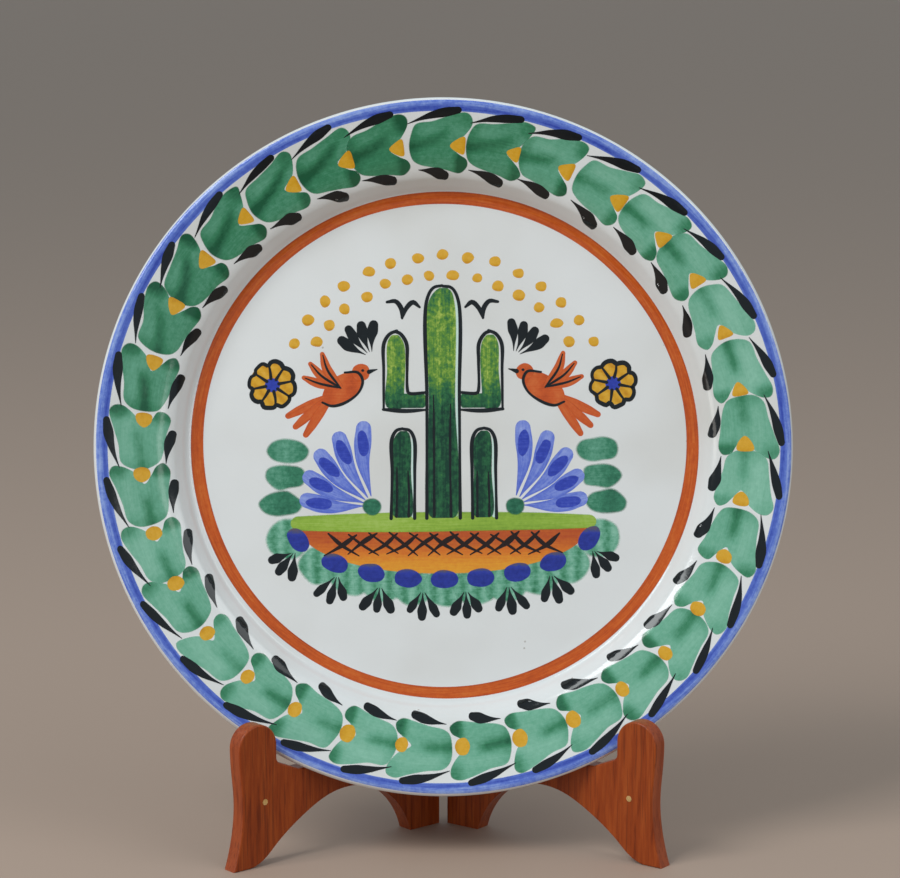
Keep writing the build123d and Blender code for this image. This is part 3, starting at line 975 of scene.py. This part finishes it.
def paint_daisy(yellow, deep, black, x, y, turn):
    petals = 8
    reach = 10.2
    yellow.patch(round_shape((x, y), reach - 0.4, reach - 0.4),
                 lambda p: 0.5 + 0.2 * np.sin(p[:, 0] + p[:, 1]), feather=0.5, rings=(0.35, 0.6, 0.8))
    outline = []
    for k in range(petals):
        middle = turn + 2 * math.pi * k / petals
        for part in (-0.5, -0.22, 0.1, 0.36):
            angle = middle + part * 2 * math.pi / petals
            radius = reach - 1.5 * (2 * abs(part)) ** 2.4 + jitter(0.3)
            outline.append((x + radius * math.cos(angle), y + radius * math.sin(angle)))
        edge = middle + math.pi / petals
        line = [(x + r * math.cos(edge + jitter(0.05)), y + r * math.sin(edge)) for r in (3.0, 6.0, 9.2)]
        black.stroke(line, [1.8, 1.4, 1.1], feather=0.22)
    black.stroke(outline + [outline[0]], [1.8, 2.3, 1.6, 2.2, 1.8], feather=0.22)
    deep.patch(round_shape((x, y), 3.5, 3.3, points=8), even(0.62), feather=0.5, rings=(0.5,))


def paint_sprigs(black):
    """A fan of four teardrops over each bird."""
    for side in SIDES:
        foot = np.array([side * SPRIG_FOOT[0], SPRIG_FOOT[1]])
        for k in range(4):
            lean = math.radians(-4 + 21 * k)
            way = np.array([side * math.sin(lean), math.cos(lean)])
            drop(black, foot + way * 3, foot + way * (17 + jitter(0.8)), 5.0 + jitter(0.4), bend=-0.04 * side)


def paint_sky(yellow, black):
    """Two staggered rows of dots arched over the scene, and a bird in flight on each side."""
    arcs = ([(-0.5, 0.12), (-0.3, 0.27), (-0.1, 0.1), (0.04, -0.2)],
            [(0.04, -0.22), (0.06, 0.06), (0.24, 0.3), (0.5, 0.28)])
    span = 14.0
    for side in SIDES:
        for arc in arcs:
            line = [(side * (17 + span * u), 59 + span * v) for u, v in arc]
            black.stroke(line, [1.3, 2.4, 2.2, 1.5], feather=0.25)
    for radius, count in ((67.0, 14), (75.0, 15)):
        for angle in np.radians(90 + 8.6 * (np.arange(count) - (count - 1) / 2)):
            x = SKY_MIDDLE[0] + radius * math.cos(angle) + jitter(0.8)
            level = SKY_MIDDLE[1] + radius * math.sin(angle) + jitter(0.8)
            dot = round_shape((x, level), 2.8 + jitter(0.4), 2.6 + jitter(0.3), points=7, rough=0.09)
            yellow.patch(dot, lambda p: 0.35 + 0.45 * ease(level - p[:, 1], 0.2, 2.6), feather=0.5,
                         rings=(0.5, 0.8))


def paint_middle():
    mint = Paint("mint_scallops", make_pigment("scallop_green", MINT, streaks=0.2, mottle=0.35), 0)
    earth = Paint("orange_earth", make_pigment("earth_orange", EARTH, streaks=0.25, mottle=0.2), 1)
    grass = Paint("grass_band", make_pigment("grass_green", GRASS, streaks=0.35, mottle=0.25), 2)
    beads = Paint("blue_beads", make_pigment("bead_blue", BEAD, streaks=0.15, mottle=0.3), 3)
    petals = Paint("agave_leaves", make_pigment("pale_blue", LIGHT_BLUE, streaks=0.4, mottle=0.25), 1)
    spots = Paint("agave_shades", make_pigment("spot_blue", DEEP_BLUE, streaks=0.3, mottle=0.3), 2)
    bushes = Paint("round_bushes", make_pigment("bush_green", TEAL, streaks=0.15, mottle=0.4), 1)
    feet = Paint("agave_feet", bushes.material, 4)
    green = Paint("cactus_green", make_pigment("cactus_green_paint", CACTUS, streaks=0.3, mottle=0.5), 3)
    mist = Paint("cactus_mist", make_pigment("mist", MIST), 2)
    rust = Paint("bird_orange", make_pigment("bird_rust", RUST, streaks=0.3, mottle=0.25), 3)
    yellow = Paint("yellow_dots", make_pigment("yellow", YELLOW, streaks=0.1, mottle=0.3), 1)
    centre = Paint("daisy_hearts", spots.material, 5)
    line = make_pigment("line_black", BLACK, streaks=0.3, mottle=0.2)
    tufts = Paint("black_tufts", line, 4)
    outline = Paint("cactus_lines", line, 5)
    hatch = Paint("earth_hatching", make_pigment("hatch_brown", HATCH), 4)
    pen = Paint("bird_lines", line, 5)
    sky = Paint("flying_birds", line, 3)
    paint_scallops(mint)
    paint_earth(earth, grass)
    paint_hatching(hatch)
    paint_beads(beads)
    paint_tufts(tufts)
    paint_cactus(green, outline, mist)
    paint_agaves(petals, spots, feet)
    paint_bushes(bushes)
    for side in SIDES:
        paint_bird(rust, pen, side)
        paint_daisy(yellow, centre, pen, side * DAISY_PLACE[0], DAISY_PLACE[1], 0.2 * side)
    paint_sprigs(tufts)
    paint_sky(yellow, sky)
    return [mint, earth, grass, beads, petals, spots, bushes, feet, green, mist, rust, yellow, centre, tufts,
            outline, hatch, pen, sky]


def paint_plate():
    for paint in paint_rim() + paint_middle():
        paint.finish()


# ------------ wood and brass
BOARD_TURN = math.radians(52)  # half the stand's opening, which is 104 degrees between the boards


def set_material(node, material):
    node.data.materials.clear()
    node.data.materials.append(material)


def dress_stand():
    """Gives the CAD's stand its finishes."""
    for side in ("left", "right"):
        sign = -1 if side == "left" else 1
        outward = (sign * math.cos(BOARD_TURN), math.sin(BOARD_TURN), 0.0)
        wood = make_wood(f"{side}_wood", outward)
        set_material(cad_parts[f"{side}_arm"], wood)
    hinge = make_brass("hinge_brass", srgb(214, 176, 104), srgb(168, 128, 66))
    screw = make_brass("screw_brass", srgb(222, 190, 120), srgb(180, 140, 80))
    tack = make_brass("tack_brass", srgb(250, 222, 160), srgb(226, 186, 116))
    for name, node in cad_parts.items():
        if "leaf" in name or "pin" in name:
            set_material(node, hinge)
        elif "screw" in name:
            set_material(node, screw)
        elif "tack" in name:
            set_material(node, tack)


# ------------ floor, light and camera


def make_floor():
    bpy.ops.mesh.primitive_plane_add(size=60.0, location=(0, 0, 0))
    floor = bpy.context.object
    floor.name = "floor"
    n = Nodes("floor_paint")
    n.shader.inputs["Base Color"].default_value = srgb(172, 148, 132)
    n.shader.inputs["Roughness"].default_value = 0.7
    floor.data.materials.append(n.material)


def add_light(name, place, target, size, power, colour=(1.0, 1.0, 1.0), size_y=None):
    light = bpy.data.lights.new(name, "AREA")
    light.shape = "RECTANGLE"
    light.size = size
    light.size_y = size_y or size
    light.energy = power
    light.color = colour
    lamp = add_object(name, light)
    lamp.location = place
    aim(lamp, target)


def aim(obj, target):
    obj.rotation_euler = (Vector(target) - Vector(obj.location)).to_track_quat("-Z", "Y").to_euler()


def set_up_world():
    world = bpy.data.worlds.new("studio")
    bpy.context.scene.world = world
    world.use_nodes = True
    world.node_tree.nodes["Background"].inputs[0].default_value = (0.8, 0.93, 1.0, 1.0)
    world.node_tree.nodes["Background"].inputs[1].default_value = 0.46


def add_camera():
    azimuth = math.radians(-1.8)
    elevation = math.radians(10.0)
    distance = 1.3
    target = CENTRE + np.array([0.0023, 0.0, 0.0025])
    back = np.array([math.sin(azimuth) * math.cos(elevation), -math.cos(azimuth) * math.cos(elevation),
                     math.sin(elevation)])
    data = bpy.data.cameras.new("camera")
    data.sensor_width = 36.0
    data.lens = 121.6
    data.clip_end = 100.0
    camera = add_object("camera", data)
    camera.location = target + back * distance
    aim(camera, target)
    bpy.context.scene.camera = camera


make_plate()
paint_plate()
dress_stand()
make_floor()
set_up_world()
add_light("window", (-1.1, -0.9, 1.6), CENTRE, 1.0, 24, (0.96, 1.0, 1.0))
add_light("sky_fill", (1.5, -1.0, 1.5), CENTRE, 1.3, 10, (0.96, 1.0, 1.0))
add_light("stand_fill", (-1.7, -1.0, 0.35), (0, 0, 0.05), 0.6, 3, (1.0, 0.95, 0.88))
add_light("rim_glint", (0.85, -1.55, 0.66), CENTRE, 0.22, 1.0, size_y=0.5)
add_camera()
bpy.context.scene.view_settings.view_transform = "Standard"
